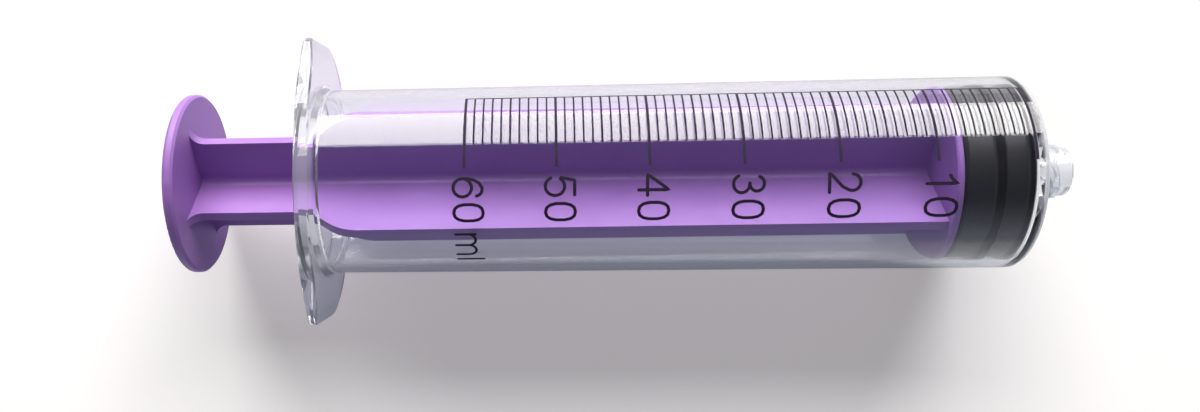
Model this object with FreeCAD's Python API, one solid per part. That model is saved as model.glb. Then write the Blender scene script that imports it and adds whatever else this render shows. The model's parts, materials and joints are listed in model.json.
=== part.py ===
import FreeCAD, Part
import math
import os

# 60 ml enteral syringe, lying on its side with the plunger fully in.
# Millimetres. +X runs along the syringe and out of the tip, +Z is up, and the wings of
# the flange lie along Y. The origin is the centre of the tip's mouth.

V = FreeCAD.Vector
ALONG = V(1, 0, 0)

# Barrel
bore_dia = 29.5
wall = 1.25
barrel_length = 117.5
front_wall = 1.3
front_edge_round = 1.0
front_corner_chamfer = 0.5
mouth_chamfer = 0.45
outlet_dia = 2.9

# Stop bead inside the mouth, which keeps the plunger from being pulled out
bead_height = 0.45
bead_ramp = 0.5
bead_crest = 0.4
bead_inset = 2.4

# Tip: a female socket
tip_length = 9.2
tip_dia = 8.2
tip_root_chamfer = 0.9
tip_mouth_chamfer = 0.3
socket_dia = 5.5
socket_depth = 8.0

# Finger flange at the mouth
flange_span = 49.0
flange_side_radius = 36.6
flange_side_rim = 0.5
flange_corner_radius = 2.5
flange_root_thickness = 2.4
flange_tip_thickness = 1.3
flange_edge_chamfer = 0.3
flange_root_chamfer = 0.9

# Plunger seal
seal_front_gap = 0.2
seal_length = 10.75
seal_clearance = 0.05
seal_rib_width = 1.0
seal_rib_spacing = 4.9
seal_groove_depth = 0.45
seal_front_chamfer = 0.3
seal_front_crown = 0.25
seal_lip_depth = 2.2
seal_lip_lead = 0.7

# Plunger rod
head_plate_thickness = 1.05
head_plate_clearance = 0.25
head_plate_chamfer = 0.25
rib_angle_deg = 38.0
rib_thickness = 1.6
rib_radius_front = 13.2
rib_radius_rear = 13.7
rib_valley_radius = 1.2
neck_radius = 9.2
neck_length = 15.65
widening_length = 11.8
disc_dia = 31.4
disc_thickness = 1.85
disc_edge_round = 0.6
disc_front_chamfer = 0.4
disc_flare_radius = 2.3
rod_length = 127.05

# Mushroom head of the rod, inside the seal
stem_dia = 9.6
stem_clearance = 0.08
mushroom_dia = 15.0
mushroom_rim = 1.5
mushroom_nose_dia = 9.0
mushroom_nose_length = 2.4
mushroom_clearance = 0.12
seat_gap = 0.15

# Places along the syringe, from the sizes above
bore_radius = bore_dia / 2
barrel_radius = bore_radius + wall
front_face_x = -tip_length
front_inner_x = front_face_x - front_wall
mouth_x = front_face_x - barrel_length
flange_front_x = mouth_x + flange_root_thickness
bead_rear_x = mouth_x + bead_inset
bead_front_x = bead_rear_x + 2 * bead_ramp + bead_crest
seal_front_x = front_inner_x - seal_front_gap
seal_rear_x = seal_front_x - seal_length
plate_front_x = seal_rear_x - seat_gap
plate_rear_x = plate_front_x - head_plate_thickness
disc_rear_x = plate_front_x - rod_length
disc_front_x = disc_rear_x + disc_thickness
plunger_travel = plate_rear_x - bead_front_x

# Distance within which two edges or faces count as being in one place
match = 0.001


def profile_face(points):
    """Closed face in the XZ plane. A point is (x, r), and (x, r, via_x, via_r) is an arc."""
    edges = []
    for start, end in zip(points, points[1:] + points[:1]):
        a = V(start[0], 0, start[1])
        b = V(end[0], 0, end[1])
        if len(end) == 4:
            edges.append(Part.Arc(a, V(end[2], 0, end[3]), b).toShape())
        else:
            edges.append(Part.LineSegment(a, b).toShape())
    return Part.Face(Part.Wire(edges))


def turned(points):
    """Solid of revolution about the syringe's axis."""
    return profile_face(points).revolve(V(0, 0, 0), ALONG, 360)


def arc_middle(radius):
    """How far the middle of a quarter arc lies from each of the two lines it joins."""
    return radius * (1 - math.sqrt(0.5))


def flange_outline(x):
    """Lens with cut ends, as a wire across the syringe at x."""
    half = flange_span / 2
    apex = barrel_radius + flange_side_rim
    end_height = apex - flange_side_radius + math.sqrt(flange_side_radius ** 2 - half ** 2)
    ends = [V(x, y, z) for y, z in (
        (-half, end_height), (half, end_height), (half, -end_height), (-half, -end_height))]
    return Part.Wire([
        Part.Arc(ends[0], V(x, 0, apex), ends[1]).toShape(),
        Part.LineSegment(ends[1], ends[2]).toShape(),
        Part.Arc(ends[2], V(x, 0, -apex), ends[3]).toShape(),
        Part.LineSegment(ends[3], ends[0]).toShape(),
    ])


def flange():
    """Finger flange with two wings, whose front face curves back to thinner ends."""
    half = flange_span / 2
    flat = barrel_radius + flange_root_chamfer
    end_x = mouth_x + flange_tip_thickness
    run = half - flat
    fall = flange_front_x - end_x
    bend = (run ** 2 + fall ** 2) / (2 * fall)
    angle = math.asin(run / bend) / 2
    via_x = flange_front_x - bend * (1 - math.cos(angle))
    via_y = flat + bend * math.sin(angle)
    base = -barrel_radius - flange_side_rim
    rear = [V(mouth_x, half, base), V(mouth_x, -half, base)]
    front = [V(x, y, base) for x, y in (
        (end_x, -half), (via_x, -via_y), (flange_front_x, -flat),
        (flange_front_x, flat), (via_x, via_y), (end_x, half))]
    section = Part.Wire([
        Part.LineSegment(rear[0], rear[1]).toShape(),
        Part.LineSegment(rear[1], front[0]).toShape(),
        Part.Arc(front[0], front[1], front[2]).toShape(),
        Part.LineSegment(front[2], front[3]).toShape(),
        Part.Arc(front[3], front[4], front[5]).toShape(),
        Part.LineSegment(front[5], rear[0]).toShape(),
    ])
    plate = Part.Face(section).extrude(V(0, 0, -2 * base))
    prism = Part.Face(flange_outline(mouth_x)).extrude(V(flange_root_thickness, 0, 0))
    blank = plate.common(prism)
    uprights = [e for e in blank.Edges if is_wing_corner(e)]
    blank = blank.makeFillet(flange_corner_radius, uprights)
    rims = [e for e in blank.Edges if is_flange_rim(e)]
    return blank.makeChamfer(flange_edge_chamfer, rims)


def is_wing_corner(edge):
    """True for the four edges along X at the corners of the wings."""
    box = edge.BoundBox
    at_end = min(abs(box.YMin), abs(box.YMax)) > flange_span / 2 - match
    return at_end and box.XLength > flange_tip_thickness / 2


def is_flange_rim(edge):
    """True for the edges round the outside of the flange's rear and front faces."""
    box = edge.BoundBox
    rear = box.XMax < mouth_x + match
    front = box.XMin > mouth_x + flange_tip_thickness - match
    is_crease = box.YLength < match and abs(box.YMin) < flange_span / 2 - match
    return rear or (front and not is_crease)


def flange_root():
    """Slope that thickens the corner between the tube and the flange's front face."""
    outer = barrel_radius + flange_root_chamfer
    inner = bore_radius + wall / 2
    end_x = flange_front_x + flange_root_chamfer
    ring = turned([
        (flange_front_x - flange_root_thickness / 2, inner),
        (flange_front_x - flange_root_thickness / 2, outer),
        (flange_front_x, outer),
        (end_x, barrel_radius),
        (end_x, inner),
    ])
    length = flange_root_thickness + flange_root_chamfer
    return ring.common(Part.Face(flange_outline(mouth_x)).extrude(V(length, 0, 0)))


def barrel():
    """Tube, flange, front wall and tip, moulded in one piece."""
    tip_radius = tip_dia / 2
    socket_radius = socket_dia / 2
    outlet_radius = outlet_dia / 2
    edge_middle = arc_middle(front_edge_round)
    body = turned([
        (mouth_x, 0),
        (mouth_x, barrel_radius),
        (front_face_x - front_edge_round, barrel_radius),
        (front_face_x, barrel_radius - front_edge_round,
         front_face_x - edge_middle, barrel_radius - edge_middle),
        (front_face_x, tip_radius + tip_root_chamfer),
        (front_face_x + tip_root_chamfer, tip_radius),
        (-tip_mouth_chamfer, tip_radius),
        (0, tip_radius - tip_mouth_chamfer),
        (0, 0),
    ])
    body = body.fuse(flange()).removeSplitter().fuse(flange_root())
    bead_radius = bore_radius - bead_height
    hollow = turned([
        (mouth_x - wall, 0),
        (mouth_x - wall, bore_radius + mouth_chamfer),
        (mouth_x, bore_radius + mouth_chamfer),
        (mouth_x + mouth_chamfer, bore_radius),
        (bead_rear_x, bore_radius),
        (bead_rear_x + bead_ramp, bead_radius),
        (bead_front_x - bead_ramp, bead_radius),
        (bead_front_x, bore_radius),
        (front_inner_x - front_corner_chamfer, bore_radius),
        (front_inner_x, bore_radius - front_corner_chamfer),
        (front_inner_x, outlet_radius),
        (-socket_depth, outlet_radius),
        (-socket_depth, socket_radius),
        (wall, socket_radius),
        (wall, 0),
    ])
    return body.cut(hollow)


def rib_half_outline():
    """Half of a rib's side view, from inside the disc to inside the head plate."""
    start_x = disc_front_x - disc_thickness / 2
    end_x = plate_rear_x + head_plate_thickness / 2
    neck_end_x = disc_front_x + neck_length + disc_flare_radius
    full_x = neck_end_x + widening_length
    flare_middle = arc_middle(disc_flare_radius)
    rise = rib_radius_rear - neck_radius
    bend = (widening_length ** 2 + rise ** 2) / (4 * rise)
    quarter_turn = math.asin(widening_length / 2 / bend) / 2
    via_x = bend * math.sin(quarter_turn)
    via_r = bend * (1 - math.cos(quarter_turn))
    return [
        (start_x, 0),
        (start_x, neck_radius + disc_flare_radius),
        (disc_front_x, neck_radius + disc_flare_radius),
        (disc_front_x + disc_flare_radius, neck_radius,
         disc_front_x + flare_middle, neck_radius + flare_middle),
        (neck_end_x, neck_radius),
        (neck_end_x + widening_length / 2, neck_radius + rise / 2,
         neck_end_x + via_x, neck_radius + via_r),
        (full_x, rib_radius_rear, full_x - via_x, rib_radius_rear - via_r),
        (plate_rear_x, rib_radius_front),
        (end_x, rib_radius_front),
        (end_x, 0),
    ]


def rib_pair():
    """One flat web through the axis, with the rib outline on both sides."""
    half = profile_face(rib_half_outline())
    upper = half.extrude(V(0, rib_thickness, 0))
    upper.translate(V(0, -rib_thickness / 2, 0))
    lower = upper.copy()
    lower.rotate(V(0, 0, 0), ALONG, 180)
    return upper.fuse(lower).removeSplitter()


def valley_fillet():
    """Concave fillet between two ribs, along the whole rod."""
    side = rib_thickness / 2
    reach = side + rib_valley_radius
    middle = reach - rib_valley_radius * math.sqrt(0.5)
    start_x = disc_front_x - disc_thickness / 2
    corners = [V(start_x, y, z) for y, z in ((side, reach), (side, side), (reach, side))]
    wire = Part.Wire([
        Part.LineSegment(corners[0], corners[1]).toShape(),
        Part.LineSegment(corners[1], corners[2]).toShape(),
        Part.Arc(corners[2], V(start_x, middle, middle), corners[0]).toShape(),
    ])
    length = plate_rear_x + head_plate_thickness / 2 - start_x
    return Part.Face(wire).extrude(V(length, 0, 0))


def mushroom_points(clearance, stem_radius):
    """Half section of the mushroom head, or of the seal's hollow with a clearance."""
    rim_radius = mushroom_dia / 2 + clearance
    nose_radius = mushroom_nose_dia / 2 + clearance
    rim_rear = seal_rear_x + seal_lip_depth - clearance
    rim_front = rim_rear + mushroom_rim + 2 * clearance
    return [
        (rim_rear, stem_radius),
        (rim_rear, rim_radius),
        (rim_front, rim_radius),
        (rim_front + mushroom_nose_length, nose_radius),
        (rim_front + mushroom_nose_length, 0),
    ]


def plunger_rod():
    """Thumb disc, cross ribs, head plate and mushroom head, moulded in one piece."""
    disc_radius = disc_dia / 2
    plate_radius = bore_radius - head_plate_clearance
    edge_middle = arc_middle(disc_edge_round)
    disc = turned([
        (disc_rear_x, 0),
        (disc_rear_x, disc_radius - disc_edge_round),
        (disc_rear_x + disc_edge_round, disc_radius,
         disc_rear_x + edge_middle, disc_radius - edge_middle),
        (disc_front_x - disc_front_chamfer, disc_radius),
        (disc_front_x, disc_radius - disc_front_chamfer),
        (disc_front_x, 0),
    ])
    plate = turned([
        (plate_rear_x, 0),
        (plate_rear_x, plate_radius - head_plate_chamfer),
        (plate_rear_x + head_plate_chamfer, plate_radius),
        (plate_front_x - head_plate_chamfer, plate_radius),
        (plate_front_x, plate_radius - head_plate_chamfer),
        (plate_front_x, stem_dia / 2),
    ] + mushroom_points(0, stem_dia / 2))
    web = rib_pair()
    cross_web = web.copy()
    cross_web.rotate(V(0, 0, 0), ALONG, 90)
    ribs = web.fuse(cross_web)
    for turn in range(4):
        fillet = valley_fillet()
        fillet.rotate(V(0, 0, 0), ALONG, 90 * turn)
        ribs = ribs.fuse(fillet)
    ribs = ribs.removeSplitter()
    ribs.rotate(V(0, 0, 0), ALONG, rib_angle_deg)
    return disc.fuse([ribs, plate]).removeSplitter()


def plunger_seal():
    """Rubber seal: two ribs on the bore wall and a hollow that holds the mushroom head."""
    rib_radius = bore_radius - seal_clearance
    body_radius = rib_radius - seal_groove_depth
    front_rib_rear = seal_front_x - seal_rib_width
    rear_rib_front = front_rib_rear - seal_rib_spacing + seal_rib_width
    rear_rib_rear = rear_rib_front - seal_rib_width
    crown_x = seal_front_x - seal_front_crown
    body = turned([
        (seal_rear_x, 0),
        (seal_rear_x, body_radius - seal_lip_lead),
        (seal_rear_x + seal_lip_lead, body_radius),
        (rear_rib_rear - seal_groove_depth, body_radius),
        (rear_rib_rear, rib_radius),
        (rear_rib_front, rib_radius),
        (rear_rib_front + seal_groove_depth, body_radius),
        (front_rib_rear - seal_groove_depth, body_radius),
        (front_rib_rear, rib_radius),
        (crown_x - seal_front_chamfer, rib_radius),
        (crown_x, rib_radius - seal_front_chamfer),
        (seal_front_x, 0),
    ])
    lip_radius = stem_dia / 2 + stem_clearance
    hollow = turned([
        (seal_rear_x - seat_gap, 0),
        (seal_rear_x - seat_gap, lip_radius),
    ] + mushroom_points(mushroom_clearance, lip_radius))
    return body.cut(hollow)


PIECES = {
    "barrel": barrel,
    "plunger_rod": plunger_rod,
    "plunger_seal": plunger_seal,
}

os.makedirs("parts", exist_ok=True)
for name, make in PIECES.items():
    shape = make()
    shape.exportStep("parts/" + name + ".step")
    print(name, "valid", shape.isValid(), "solids", len(shape.Solids), "volume", round(shape.Volume, 1))
print("plunger travel", round(plunger_travel, 2))
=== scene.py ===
import json
import math
import bpy
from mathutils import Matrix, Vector


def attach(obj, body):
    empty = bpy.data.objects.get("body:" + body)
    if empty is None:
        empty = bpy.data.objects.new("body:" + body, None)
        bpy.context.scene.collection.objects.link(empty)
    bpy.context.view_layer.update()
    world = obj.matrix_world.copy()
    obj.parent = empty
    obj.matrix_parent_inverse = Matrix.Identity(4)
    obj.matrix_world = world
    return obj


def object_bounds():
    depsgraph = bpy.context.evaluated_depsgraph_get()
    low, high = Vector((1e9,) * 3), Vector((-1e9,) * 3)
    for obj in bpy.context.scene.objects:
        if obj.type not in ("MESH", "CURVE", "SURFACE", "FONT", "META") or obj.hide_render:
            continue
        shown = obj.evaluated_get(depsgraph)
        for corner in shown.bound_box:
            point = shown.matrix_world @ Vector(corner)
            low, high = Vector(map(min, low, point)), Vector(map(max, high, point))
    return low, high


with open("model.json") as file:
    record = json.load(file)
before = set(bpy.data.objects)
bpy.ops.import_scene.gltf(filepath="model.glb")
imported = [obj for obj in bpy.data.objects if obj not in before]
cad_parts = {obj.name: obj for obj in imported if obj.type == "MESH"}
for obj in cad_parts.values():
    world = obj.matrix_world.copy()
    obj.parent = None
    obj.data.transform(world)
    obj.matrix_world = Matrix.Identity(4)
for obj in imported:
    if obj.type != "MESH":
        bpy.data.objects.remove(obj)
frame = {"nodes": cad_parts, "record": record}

# Dressing of a 60 ml enteral syringe: finishes, the printed scale and the tip's lugs.
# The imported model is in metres, with +X out of the tip, +Z up and the wings along Y. Sizes
# and places below are in mm and degrees, unless a note says otherwise.

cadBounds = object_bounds()
mm = 0.001
barrel = frame["nodes"]["barrel"]
plungerRod = frame["nodes"]["plunger_rod"]
plungerSeal = frame["nodes"]["plunger_seal"]
mounts = {mount["name"]: mount for mount in frame["record"]["mounts"]}
tubeRadius = mounts["barrel_outside"]["dims"]["r_mm"]
print("frame loaded:", ", ".join(sorted(frame["nodes"])))


# Small helpers

def hexToLinear(hexColour):
    parts = [int(hexColour[i:i + 2], 16) / 255 for i in (1, 3, 5)]
    linear = [c / 12.92 if c <= 0.04045 else ((c + 0.055) / 1.055) ** 2.4 for c in parts]
    return (*linear, 1.0)


def addNode(tree, kind, settings=None, links=None):
    # A setting named or numbered as a socket goes to that socket, and any other to the node.
    # The Mix node's two colours are its sockets 6 and 7, and its colour output is number 2.
    node = tree.nodes.new(kind)
    for key, value in (settings or {}).items():
        if isinstance(key, int) or key in node.inputs:
            node.inputs[key].default_value = value
        else:
            setattr(node, key, value)
    for key, socket in (links or {}).items():
        tree.links.new(socket, node.inputs[key])
    return node


def newMaterial(name):
    material = bpy.data.materials.new(name)
    material.use_nodes = True
    tree = material.node_tree
    tree.nodes.clear()
    place = addNode(tree, "ShaderNodeTexCoord").outputs["Object"]
    return material, tree, place


def noiseScale(sizeMm):
    # Blender's noise repeats about once for each unit of scale, so the scale is one over the size
    return 1 / (sizeMm * mm)


def distanceFromAxis(tree, place):
    # How far a place is from the syringe's long axis, in metres
    across = addNode(tree, "ShaderNodeVectorMath", {"operation": "MULTIPLY", 1: (0, 1, 1)},
                     {0: place})
    length = addNode(tree, "ShaderNodeVectorMath", {"operation": "LENGTH"},
                     {0: across.outputs["Vector"]})
    return length.outputs["Value"]


def dress(node, material):
    for materialSlot in node.material_slots:
        materialSlot.material = material


# Finishes

clearPlastic = {
    "tint": "#F9FAFC",
    "lampTint": "#F8F9FC",   # colour that each surface gives to the light of the lamps
    "clearness": 0.997,      # the rest is the milky part of the plastic
    "endMilk": 0.12,         # more of it at the tip and flange, where light crosses more plastic
    "middleMm": -66.4,       # between the tip and the flange
    "endMm": (57.3, 58.0),   # from how far off that middle the plastic turns milkier
    "cornerMilk": 0.4,       # and more again in the solid corner round the front wall
    "cornerXMm": (-10.6, -10.0),
    "cornerRadiusMm": (14.9, 15.5),
    "roughness": 0.035,
    "ior": 1.49,
    "rippleMm": 11.0,        # slow waves that the melt leaves in a moulded wall
    "rippleDepthMm": 0.003,
    "rippleStretch": 0.3,    # the waves run along the flow, from the tip to the flange
}


def makeClearPolypropylene(look):
    # Clarified polypropylene, injection moulded against a polished core: clear with a faint
    # blue milkiness, and long soft ripples that bend the highlights along the tube.
    material, tree, place = newMaterial("clear moulded polypropylene")
    flow = addNode(tree, "ShaderNodeMapping", {"Scale": (look["rippleStretch"], 1, 1)},
                   {"Vector": place})
    ripple = addNode(tree, "ShaderNodeTexNoise",
                     {"Scale": noiseScale(look["rippleMm"]), "Detail": 1.0},
                     {"Vector": flow.outputs["Vector"]})
    bump = addNode(tree, "ShaderNodeBump", {"Distance": look["rippleDepthMm"] * mm},
                   {"Height": ripple.outputs["Fac"]})
    split = addNode(tree, "ShaderNodeSeparateXYZ", links={"Vector": place})
    offset = addNode(tree, "ShaderNodeMath", {"operation": "SUBTRACT", 1: look["middleMm"] * mm},
                     {0: split.outputs["X"]})
    away = addNode(tree, "ShaderNodeMath", {"operation": "ABSOLUTE"}, {0: offset.outputs["Value"]})
    # Shares of three distances, each 0 below its range in the look and 1 above it
    shares = {}
    for key, distance in (("endMm", away.outputs["Value"]),
                          ("cornerXMm", split.outputs["X"]),
                          ("cornerRadiusMm", distanceFromAxis(tree, place))):
        low, high = look[key]
        share = addNode(tree, "ShaderNodeMapRange",
                        {"From Min": low * mm, "From Max": high * mm}, {"Value": distance})
        shares[key] = share.outputs["Result"]
    ends = addNode(tree, "ShaderNodeMath", {"operation": "MULTIPLY", 1: look["endMilk"]},
                   {0: shares["endMm"]})
    corner = addNode(tree, "ShaderNodeMath", {"operation": "MULTIPLY"},
                     {0: shares["cornerXMm"], 1: shares["cornerRadiusMm"]})
    corner = addNode(tree, "ShaderNodeMath", {"operation": "MULTIPLY", 1: look["cornerMilk"]},
                     {0: corner.outputs["Value"]})
    milk = addNode(tree, "ShaderNodeMath", {"operation": "MAXIMUM"},
                   {0: ends.outputs["Value"], 1: corner.outputs["Value"]})
    clearness = addNode(tree, "ShaderNodeMath", {"operation": "SUBTRACT", 0: look["clearness"]},
                        {1: milk.outputs["Value"]})
    plastic = addNode(tree, "ShaderNodeBsdfPrincipled", {
        "Base Color": hexToLinear(look["tint"]),
        "Roughness": look["roughness"],
        "IOR": look["ior"],
    }, {
        "Transmission Weight": clearness.outputs["Value"],
        "Normal": bump.outputs["Normal"],
    })
    # Light from the lamps passes straight through, so that the rod inside is lit
    path = addNode(tree, "ShaderNodeLightPath")
    lets = addNode(tree, "ShaderNodeMath", {"operation": "MAXIMUM"},
                   {0: path.outputs["Is Shadow Ray"], 1: path.outputs["Is Diffuse Ray"]})
    passing = addNode(tree, "ShaderNodeBsdfTransparent", {"Color": hexToLinear(look["lampTint"])})
    mixed = addNode(tree, "ShaderNodeMixShader", links={
        0: lets.outputs["Value"], 1: plastic.outputs["BSDF"], 2: passing.outputs["BSDF"]})
    addNode(tree, "ShaderNodeOutputMaterial", links={"Surface": mixed.outputs["Shader"]})
    return material


purplePlastic = {
    "body": "#9365AF",
    "swirl": "#9E72BA",      # pigment is a little uneven in the melt
    "swirlMm": 9.0,
    "roughness": (0.4, 0.5),
    "ior": 1.49,
    "glow": 0.12,            # light that enters the plastic and comes out nearby
    "glowMm": 1.2,
    "glowReach": (1.0, 0.6, 1.0),   # of red, green and blue, as shares of glowMm
    "grainMm": 0.25,         # real spark grain is nearer 0.05 mm; drawn coarser so that it shows
    "grainDepthMm": 0.004,
}


def makePurplePolypropylene(look):
    # Purple masterbatch polypropylene, injection moulded: waxy satin gloss, slightly
    # translucent at thin edges, with a fine even grain from the mould.
    material, tree, place = newMaterial("purple moulded polypropylene")
    swirl = addNode(tree, "ShaderNodeTexNoise",
                    {"Scale": noiseScale(look["swirlMm"]), "Detail": 3.0}, {"Vector": place})
    colour = addNode(tree, "ShaderNodeMix", {
        "data_type": "RGBA", 6: hexToLinear(look["body"]), 7: hexToLinear(look["swirl"])},
        {0: swirl.outputs["Fac"]})
    low, high = look["roughness"]
    rough = addNode(tree, "ShaderNodeMapRange", {"To Min": low, "To Max": high},
                    {"Value": swirl.outputs["Fac"]})
    grain = addNode(tree, "ShaderNodeTexNoise",
                    {"Scale": noiseScale(look["grainMm"]), "Detail": 2.0}, {"Vector": place})
    bump = addNode(tree, "ShaderNodeBump", {"Distance": look["grainDepthMm"] * mm},
                   {"Height": grain.outputs["Fac"]})
    plastic = addNode(tree, "ShaderNodeBsdfPrincipled", {
        "IOR": look["ior"],
        "Subsurface Weight": look["glow"],
        "Subsurface Radius": look["glowReach"],
        "Subsurface Scale": look["glowMm"] * mm,
    }, {
        "Base Color": colour.outputs[2],
        "Roughness": rough.outputs["Result"],
        "Normal": bump.outputs["Normal"],
    })
    addNode(tree, "ShaderNodeOutputMaterial", links={"Surface": plastic.outputs["BSDF"]})
    return material


blackRubber = {
    "body": "#0E0D12",
    "bloom": "#16151B",      # pale haze where the oil film is thin
    "bloomMm": 4.0,
    "contactShade": "#08070A",    # painted shade where a rib lies on the bore: darker there, for the light that the contact with the bore doesn't scatter
    "contactShadeRadiusMm": (14.35, 14.65),
    "shine": (0.5, 0.05),    # of the free surface and, lower, where a rib lies on the bore: a painted loss of reflection
    "roughness": 0.38,
    "ior": 1.52,
    "oil": 0.06,
    "oilRoughness": 0.12,
    "grainMm": 0.3,          # real moulded rubber is finer; drawn coarser so that it shows
    "grainDepthMm": 0.002,
}


def makeBlackRubber(look):
    # Carbon black rubber, compression moulded and wiped with silicone oil: deep black,
    # soft broad highlights under a thin sharper one from the oil.
    material, tree, place = newMaterial("black moulded rubber")
    bloom = addNode(tree, "ShaderNodeTexNoise",
                    {"Scale": noiseScale(look["bloomMm"]), "Detail": 4.0}, {"Vector": place})
    colour = addNode(tree, "ShaderNodeMix", {
        "data_type": "RGBA", 6: hexToLinear(look["body"]), 7: hexToLinear(look["bloom"])},
        {0: bloom.outputs["Fac"]})
    # Painted shade: in a ring as far out as the bore, where the ribs lie on it, the rubber is made
    # darker and less shiny
    low, high = look["contactShadeRadiusMm"]
    contactShade = addNode(tree, "ShaderNodeMapRange", {"From Min": low * mm, "From Max": high * mm},
                      {"Value": distanceFromAxis(tree, place)})
    colour = addNode(tree, "ShaderNodeMix", {"data_type": "RGBA", 7: hexToLinear(look["contactShade"])},
                     {0: contactShade.outputs["Result"], 6: colour.outputs[2]})
    free, shineAtContactShade = look["shine"]
    shine = addNode(tree, "ShaderNodeMapRange", {"To Min": free, "To Max": shineAtContactShade},
                    {"Value": contactShade.outputs["Result"]})
    grain = addNode(tree, "ShaderNodeTexNoise",
                    {"Scale": noiseScale(look["grainMm"]), "Detail": 2.0}, {"Vector": place})
    bump = addNode(tree, "ShaderNodeBump", {"Distance": look["grainDepthMm"] * mm},
                   {"Height": grain.outputs["Fac"]})
    rubber = addNode(tree, "ShaderNodeBsdfPrincipled", {
        "Roughness": look["roughness"],
        "IOR": look["ior"],
        "Coat Weight": look["oil"],
        "Coat Roughness": look["oilRoughness"],
    }, {
        "Base Color": colour.outputs[2],
        "Specular IOR Level": shine.outputs["Result"],
        "Normal": bump.outputs["Normal"],
    })
    addNode(tree, "ShaderNodeOutputMaterial", links={"Surface": rubber.outputs["BSDF"]})
    return material


ink = {
    "body": "#1B1021",
    "thin": "#32233A",       # where the pad left less ink
    "thinMm": 0.9,
    "roughness": 0.8,
    "ior": 1.5,
    "shine": 0.3,
}


def makePrintedInk(look):
    # Black ink, pad printed and flame cured: flat and nearly matt, a little thinner in places.
    material, tree, place = newMaterial("pad printed black ink")
    thin = addNode(tree, "ShaderNodeTexNoise",
                   {"Scale": noiseScale(look["thinMm"]), "Detail": 2.0}, {"Vector": place})
    colour = addNode(tree, "ShaderNodeMix", {
        "data_type": "RGBA", 6: hexToLinear(look["body"]), 7: hexToLinear(look["thin"])},
        {0: thin.outputs["Fac"]})
    film = addNode(tree, "ShaderNodeBsdfPrincipled", {
        "Roughness": look["roughness"],
        "IOR": look["ior"],
        "Specular IOR Level": look["shine"],
    }, {"Base Color": colour.outputs[2]})
    addNode(tree, "ShaderNodeOutputMaterial", links={"Surface": film.outputs["BSDF"]})
    return material


clearFinish = makeClearPolypropylene(clearPlastic)
dress(barrel, clearFinish)
dress(plungerRod, makePurplePolypropylene(purplePlastic))
dress(plungerSeal, makeBlackRubber(blackRubber))
print("finishes: clear and purple polypropylene, black rubber")


# Printed scale. A place on the barrel is (x along it, s round it) in mm, with s = 0 on top
# and growing toward +Y. Every line of print is a thin closed solid wrapped on the tube.

scale = {
    "sunk": 0.02,            # the film's underside, just inside the wall
    "proud": 0.02,           # and its top, just outside
    "zeroX": -11.3,
    "mlSpacing": 1.4631,
    "lastMl": 60,
    "baselineDeg": 56.5,     # angles are from the top of the tube toward +Y
    "shortEndDeg": 20.8,
    "longEndDeg": 6.7,
    "baselineWidth": 0.22,
    "oneWidth": 0.28,        # ticks of 1, 5 and 10 ml
    "fiveWidth": 0.32,
    "tenWidth": 0.43,
    "digitHeight": 4.72,     # along the barrel, between the middles of the strokes
    "digitLine": 0.52,
    "digitShiftX": 0.55,     # middle of a number, from its tick toward the tip
    "digitDeg": (-4.75, -19.15),    # middles of the first and the second digit
    "unitX": -100.85,        # foot of the letters m and l
    "unitLine": 0.44,
    "mStartDeg": -33.4,
    "mHeight": 3.2,
    "mWidth": 4.6,
    "lDeg": -54.8,
    "lHeight": 4.3,
    "straightMm": 0.5,       # longest straight piece of a line that bends round the tube
    "capSteps": 8,           # pieces in the round end of a stroke
    "arcSteps": 14,          # and in an arc
    "meetMm": 0.01,          # a stroke whose ends are nearer than this is a closed one
}


def roundTube(degrees):
    return math.radians(degrees) * tubeRadius


def toTube(x, s, lift):
    angle = s / tubeRadius
    radius = tubeRadius + lift
    return (x * mm, radius * math.sin(angle) * mm, radius * math.cos(angle) * mm)


def resample(path):
    points = [Vector(path[0])]
    for start, end in zip(path, path[1:]):
        a, b = Vector(start), Vector(end)
        count = max(1, math.ceil((b - a).length / scale["straightMm"]))
        points += [a.lerp(b, (i + 1) / count) for i in range(count)]
    return points


def edgesOfStroke(points, halfWidth, closed):
    left, right = [], []
    count = len(points)
    for i, point in enumerate(points):
        before = points[i - 1] if closed or i > 0 else point
        after = points[(i + 1) % count] if closed or i < count - 1 else point
        along = (after - before).normalized()
        side = Vector((-along.y, along.x)) * halfWidth
        left.append(point + side)
        right.append(point - side)
    return left, right


def capPoints(centre, start):
    # Half circle from start, round the end of a stroke
    arm = start - centre
    turned = []
    for i in range(1, scale["capSteps"]):
        angle = -math.pi * i / scale["capSteps"]
        turned.append(centre + Vector((
            arm.x * math.cos(angle) - arm.y * math.sin(angle),
            arm.x * math.sin(angle) + arm.y * math.cos(angle))))
    return turned


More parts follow.
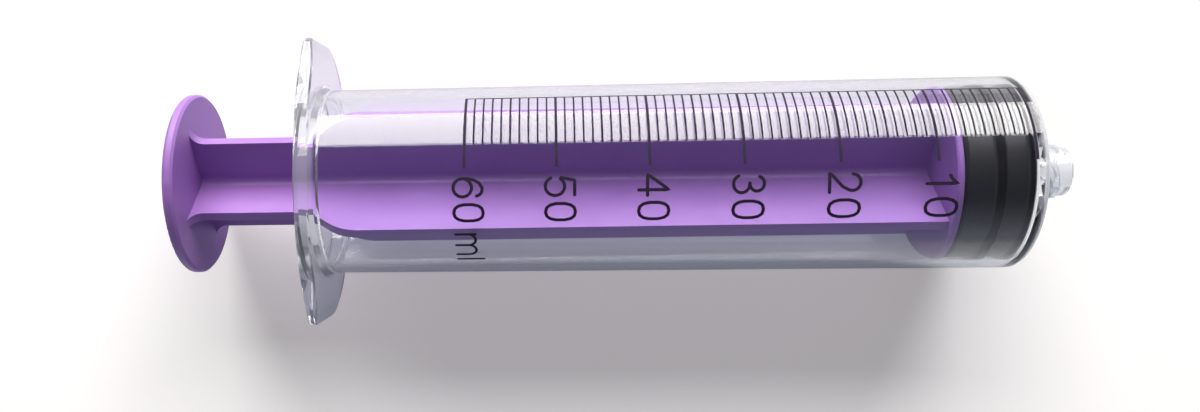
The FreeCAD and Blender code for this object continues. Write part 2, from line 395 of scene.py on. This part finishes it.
def addStroke(mesh, path, width, closed=False, roundEnds=True):
    points = resample(path)
    if closed:
        points = points[:-1]
    left, right = edgesOfStroke(points, width / 2, closed)
    count = len(points)
    base = len(mesh["points"])
    # Four rows of corners: left and right edges, on the film's underside and on its top
    for row, lift in ((left, -scale["sunk"]), (right, -scale["sunk"]),
                      (left, scale["proud"]), (right, scale["proud"])):
        mesh["points"] += [toTube(p.x, p.y, lift) for p in row]

    def corner(row, i):
        return base + row * count + i % count

    for i in range(count if closed else count - 1):
        j = i + 1
        mesh["faces"].append((corner(2, i), corner(2, j), corner(3, j), corner(3, i)))
        mesh["faces"].append((corner(0, i), corner(1, i), corner(1, j), corner(0, j)))
        mesh["faces"].append((corner(0, i), corner(0, j), corner(2, j), corner(2, i)))
        mesh["faces"].append((corner(1, i), corner(3, i), corner(3, j), corner(1, j)))
    if closed:
        return
    for i, first, second in ((count - 1, 0, 1), (0, 1, 0)):
        # At the last point the cap turns from left to right, and at the first point back
        rows = (left, right)
        cap = capPoints(points[i], rows[first][i]) if roundEnds else []
        start = len(mesh["points"])
        mesh["points"] += [toTube(p.x, p.y, -scale["sunk"]) for p in cap]
        mesh["points"] += [toTube(p.x, p.y, scale["proud"]) for p in cap]
        under = [corner(first, i)] + [start + k for k in range(len(cap))] + [corner(second, i)]
        over = [corner(first + 2, i)] + [start + len(cap) + k for k in range(len(cap))]
        over.append(corner(second + 2, i))
        if cap:
            mesh["faces"].append(tuple(over))
            mesh["faces"].append(tuple(reversed(under)))
        for k in range(len(under) - 1):
            mesh["faces"].append((under[k], under[k + 1], over[k + 1], over[k]))


def arc(cx, cy, rx, ry, startDeg, endDeg, flatness=2.0):
    # Points of an ellipse; a flatness over 2 squares its sides
    steps = scale["arcSteps"]
    points = []
    for i in range(steps + 1):
        angle = math.radians(startDeg + (endDeg - startDeg) * i / steps)
        c, s = math.cos(angle), math.sin(angle)
        points.append((cx + rx * math.copysign(abs(c) ** (2 / flatness), c),
                       cy + ry * math.copysign(abs(s) ** (2 / flatness), s)))
    return points


# Strokes of each digit, as (right, up) in shares of its height, with the middle at 0
digitStrokes = {
    "0": [arc(0.01, 0.5, 0.3, 0.5, 90, 450, flatness=2.5)],
    "1": [[(-0.2, 0.74), (-0.06, 0.82), (0.06, 0.99), (0.06, 0)]],
    "2": [arc(-0.02, 0.73, 0.27, 0.27, 176, -28)
          + [(0.12, 0.42), (-0.1, 0.22), (-0.26, 0.08), (-0.31, 0)], [(-0.31, 0), (0.31, 0)]],
    "3": [arc(-0.02, 0.765, 0.25, 0.235, 158, -75) + [(-0.04, 0.53)],
          arc(-0.01, 0.265, 0.29, 0.265, 92, -158)],
    "4": [[(0.14, 0), (0.14, 1.0), (-0.38, 0.29), (0.32, 0.29)]],
    "5": [[(0.27, 0.98), (-0.22, 0.98), (-0.31, 0.53)],
          arc(-0.02, 0.325, 0.31, 0.325, 145, -155)],
    "6": [arc(-0.01, 0.315, 0.31, 0.315, 180, -180),
          [(-0.32, 0.315), (-0.315, 0.5), (-0.27, 0.7), (-0.17, 0.88), (0, 0.985),
           (0.15, 0.965), (0.24, 0.88), (0.27, 0.79)]],
}


def addDigit(mesh, digit, middleX, middleDeg):
    height = scale["digitHeight"]
    middleS = roundTube(middleDeg)
    for stroke in digitStrokes[digit]:
        path = [(middleX + (up - 0.5) * height, middleS - right * height)
                for right, up in stroke]
        closed = (Vector(path[0]) - Vector(path[-1])).length < scale["meetMm"]
        addStroke(mesh, path, scale["digitLine"], closed)


def addTick(mesh, x, endDeg, width):
    addStroke(mesh, [(x, roundTube(scale["baselineDeg"])), (x, roundTube(endDeg))], width,
              roundEnds=False)


def addUnit(mesh):
    # The letters m and l, beside the last number
    x, height, line = scale["unitX"], scale["mHeight"], scale["unitLine"]
    start = roundTube(scale["mStartDeg"])
    gap = scale["mWidth"] / 2
    shoulder = gap / 2
    for stem in range(3):
        s = start - stem * gap
        addStroke(mesh, [(x, s), (x + height - (shoulder if stem else 0), s)], line)
    for arch in range(2):
        middle = start - (arch + 0.5) * gap
        bow = arc(middle, x + height - shoulder, shoulder, shoulder, 0, 180)
        addStroke(mesh, [(up, across) for across, up in bow], line)
    s = roundTube(scale["lDeg"])
    addStroke(mesh, [(x, s), (x + scale["lHeight"], s)], line)


def makeObject(name, mesh, material, body):
    data = bpy.data.meshes.new(name)
    data.from_pydata(mesh["points"], [], mesh["faces"])
    data.update()
    data.materials.append(material)
    piece = bpy.data.objects.new(name, data)
    bpy.context.scene.collection.objects.link(piece)
    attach(piece, body)
    return piece


def makePrint():
    mesh = {"points": [], "faces": []}
    baseline = roundTube(scale["baselineDeg"])
    lastX = scale["zeroX"] - scale["lastMl"] * scale["mlSpacing"]
    half = scale["tenWidth"] / 2
    addStroke(mesh, [(lastX - half, baseline), (scale["zeroX"] + half, baseline)],
              scale["baselineWidth"], roundEnds=False)
    for ml in range(scale["lastMl"] + 1):
        x = scale["zeroX"] - ml * scale["mlSpacing"]
        if ml % 10 == 0:
            addTick(mesh, x, scale["longEndDeg"], scale["tenWidth"])
        elif ml % 5 == 0:
            addTick(mesh, x, scale["shortEndDeg"], scale["fiveWidth"])
        else:
            addTick(mesh, x, scale["shortEndDeg"], scale["oneWidth"])
        if ml and ml % 10 == 0:
            for digit, middleDeg in zip(str(ml), scale["digitDeg"]):
                addDigit(mesh, digit, x + scale["digitShiftX"], middleDeg)
    addUnit(mesh)
    return makeObject("scale_print", mesh, makePrintedInk(ink), "barrel")


printPiece = makePrint()
print("printed scale:", len(printPiece.data.polygons), "faces")


# Lugs on the tip: two starts of a right-hand thread that a feeding tube's collar screws on

lugs = {
    "starts": 2,
    "lead": 5.0,
    "turnDeg": 235.0,
    "frontX": -1.3,
    "rootRadius": 3.95,
    "rootWidth": 1.7,
    "crestRadius": 4.5,
    "crestWidth": 0.8,
    "taperDeg": 30.0,        # over which each end of a lug rises
    "endHeight": 0.02,       # what is left of it at the very end
    "edgeWidth": 0.12,
    "edgeSteps": 3,
    "stepDeg": 5.0,
}


def makeLugs():
    # Each lug is a row of sections with four corners, two on the tip and two on the crest
    mesh = {"points": [], "faces": []}
    root, height = lugs["rootRadius"], lugs["crestRadius"] - lugs["rootRadius"]
    steps = round(lugs["turnDeg"] / lugs["stepDeg"])
    for start in range(lugs["starts"]):
        base = len(mesh["points"])
        for i in range(steps + 1):
            turn = lugs["turnDeg"] * i / steps
            fromEnd = min(turn, lugs["turnDeg"] - turn) / lugs["taperDeg"]
            share = math.sin(min(1.0, fromEnd) * math.pi / 2)
            crest = root + max(height * share, lugs["endHeight"])
            x = lugs["frontX"] - lugs["lead"] * (lugs["turnDeg"] - turn) / 360
            angle = math.radians(turn + 360 * start / lugs["starts"])
            for radius, offset in ((root, -lugs["rootWidth"] / 2), (crest, -lugs["crestWidth"] / 2),
                                   (crest, lugs["crestWidth"] / 2), (root, lugs["rootWidth"] / 2)):
                mesh["points"].append(((x + offset) * mm, radius * math.cos(angle) * mm,
                                       radius * math.sin(angle) * mm))
        for i in range(steps):
            ring = base + 4 * i
            for k in range(4):
                nextK = (k + 1) % 4
                mesh["faces"].append((ring + k, ring + 4 + k, ring + 4 + nextK, ring + nextK))
        mesh["faces"].append((base, base + 1, base + 2, base + 3))
        last = base + 4 * steps
        mesh["faces"].append((last + 3, last + 2, last + 1, last))
    piece = makeObject("tip_lugs", mesh, clearFinish, "barrel")
    rounding = piece.modifiers.new("soft edges", "BEVEL")
    rounding.width = lugs["edgeWidth"] * mm
    rounding.segments = lugs["edgeSteps"]
    rounding.limit_method = "ANGLE"
    piece.data.shade_smooth()


makeLugs()
print("tip lugs made")


# Floor, light and camera

board = {
    "colour": "#F4F4F3",
    "sizeM": 8.0,
    "grainMm": 1.4,
    "grainDepthMm": 0.02,
    "roughness": 0.9,
    "ior": 1.45,
    "shine": 0.15,
    "glow": "#FFF2E2",
    "glowSeen": (0.24, 0.03),   # where it is seen straight on, and in or through the plastic
}


def makeFloor(look):
    # Pale matt board, with a faint mottle
    material, tree, place = newMaterial("pale matt board")
    grain = addNode(tree, "ShaderNodeTexNoise",
                    {"Scale": noiseScale(look["grainMm"]), "Detail": 3.0}, {"Vector": place})
    bump = addNode(tree, "ShaderNodeBump", {"Distance": look["grainDepthMm"] * mm},
                   {"Height": grain.outputs["Fac"]})
    # Where it is seen the board glows up to white, and throws no more light on the syringe for it
    straight, through = look["glowSeen"]
    path = addNode(tree, "ShaderNodeLightPath")
    indirect = addNode(tree, "ShaderNodeMath", {"operation": "MAXIMUM"},
                       {0: path.outputs["Is Glossy Ray"], 1: path.outputs["Is Transmission Ray"]})
    glow = addNode(tree, "ShaderNodeMath", {"operation": "MULTIPLY", 1: through},
                   {0: indirect.outputs["Value"]})
    glow = addNode(tree, "ShaderNodeMath", {"operation": "MULTIPLY_ADD", 1: straight},
                   {0: path.outputs["Is Camera Ray"], 2: glow.outputs["Value"]})
    surface = addNode(tree, "ShaderNodeBsdfPrincipled", {
        "Base Color": hexToLinear(look["colour"]),
        "Roughness": look["roughness"],
        "IOR": look["ior"],
        "Specular IOR Level": look["shine"],
        "Emission Color": hexToLinear(look["glow"]),
    }, {"Normal": bump.outputs["Normal"], "Emission Strength": glow.outputs["Value"]})
    addNode(tree, "ShaderNodeOutputMaterial", links={"Surface": surface.outputs["BSDF"]})
    half = look["sizeM"] / 2
    z = cadBounds[0].z
    data = bpy.data.meshes.new("floor")
    data.from_pydata([(-half, -half, z), (half, -half, z), (half, half, z), (-half, half, z)],
                     [], [(0, 1, 2, 3)])
    data.materials.append(material)
    floor = bpy.data.objects.new("floor", data)
    bpy.context.scene.collection.objects.link(floor)


room = {
    "light": "#D9E3FE",
    "lightFrom": (0.36, 0.07),  # what the room gives to the object, from -Y and from +Y
    "sky": "#DDE4F7",
    "skySeen": (0.1, 0.66),  # what is seen in it and through it, overhead and at the windows' height
    "skyRise": (0.2, 0.8),   # from which height of view, 0 level and 1 overhead, it darkens
}


def makeRoom(look):
    world = bpy.data.worlds.new("pale room")
    world.use_nodes = True
    bpy.context.scene.world = world
    tree = world.node_tree
    tree.nodes.clear()
    path = addNode(tree, "ShaderNodeLightPath")
    seen = addNode(tree, "ShaderNodeMath", {"operation": "MAXIMUM"},
                   {0: path.outputs["Is Camera Ray"], 1: path.outputs["Is Glossy Ray"]})
    seen = addNode(tree, "ShaderNodeMath", {"operation": "MAXIMUM"},
                   {0: seen.outputs["Value"], 1: path.outputs["Is Transmission Ray"]})
    way = addNode(tree, "ShaderNodeTexCoord").outputs["Generated"]
    split = addNode(tree, "ShaderNodeSeparateXYZ", links={"Vector": way})
    # A pale wall opposite the key lamp fills the shadows a little
    front, back = look["lightFrom"]
    fill = addNode(tree, "ShaderNodeMapRange", {
        "From Min": -1.0, "From Max": 1.0, "To Min": front, "To Max": back,
    }, {"Value": split.outputs["Y"]})
    light = addNode(tree, "ShaderNodeBackground", {"Color": hexToLinear(look["light"])},
                    {"Strength": fill.outputs["Result"]})
    # The ceiling is darker than the windows, so what faces straight up reflects less
    overhead, level = look["skySeen"]
    low, high = look["skyRise"]
    seenLight = addNode(tree, "ShaderNodeMapRange", {
        "From Min": low, "From Max": high, "To Min": level, "To Max": overhead,
    }, {"Value": split.outputs["Z"]})
    view = addNode(tree, "ShaderNodeBackground", {"Color": hexToLinear(look["sky"])},
                   {"Strength": seenLight.outputs["Result"]})
    mixed = addNode(tree, "ShaderNodeMixShader", links={
        0: seen.outputs["Value"], 1: light.outputs["Background"], 2: view.outputs["Background"]})
    addNode(tree, "ShaderNodeOutputWorld", links={"Surface": mixed.outputs["Shader"]})


keyLamp = {
    "colour": "#FFFDFA",
    "watts": 305.0,
    "sizeM": (3.82, 2.83),
    "placeM": (-0.06, 3.23, 1.337),
    "targetM": (-0.075, 0, 0),
}


def makeLamp(lamp):
    data = bpy.data.lights.new("key", "AREA")
    data.color = hexToLinear(lamp["colour"])[:3]
    data.energy = lamp["watts"]
    data.shape = "RECTANGLE"
    data.size, data.size_y = lamp["sizeM"]
    holder = bpy.data.objects.new("key", data)
    bpy.context.scene.collection.objects.link(holder)
    holder.location = lamp["placeM"]
    aim = Vector(lamp["targetM"]) - Vector(lamp["placeM"])
    holder.rotation_euler = aim.to_track_quat("-Z", "Y").to_euler()


photoView = {
    "placeM": (-0.08518, 0, 0.17485),
    "turnRad": (-0.0273, 0.0721, -0.0146),
    "lensMm": 30.15,
    "sensorMm": 36.0,
    "shiftX": 0.1005,        # as a share of the picture's width
    "clipStartM": 0.01,
}


def makeCamera(view):
    data = bpy.data.cameras.new("camera")
    data.lens = view["lensMm"]
    data.sensor_width = view["sensorMm"]
    data.shift_x = view["shiftX"]
    data.clip_start = view["clipStartM"]
    camera = bpy.data.objects.new("camera", data)
    bpy.context.scene.collection.objects.link(camera)
    camera.location = view["placeM"]
    camera.rotation_euler = view["turnRad"]
    bpy.context.scene.camera = camera


makeFloor(board)
makeRoom(room)
makeLamp(keyLamp)
makeCamera(photoView)
bpy.context.scene.view_settings.view_transform = "Standard"
print("floor, lamp and camera placed")
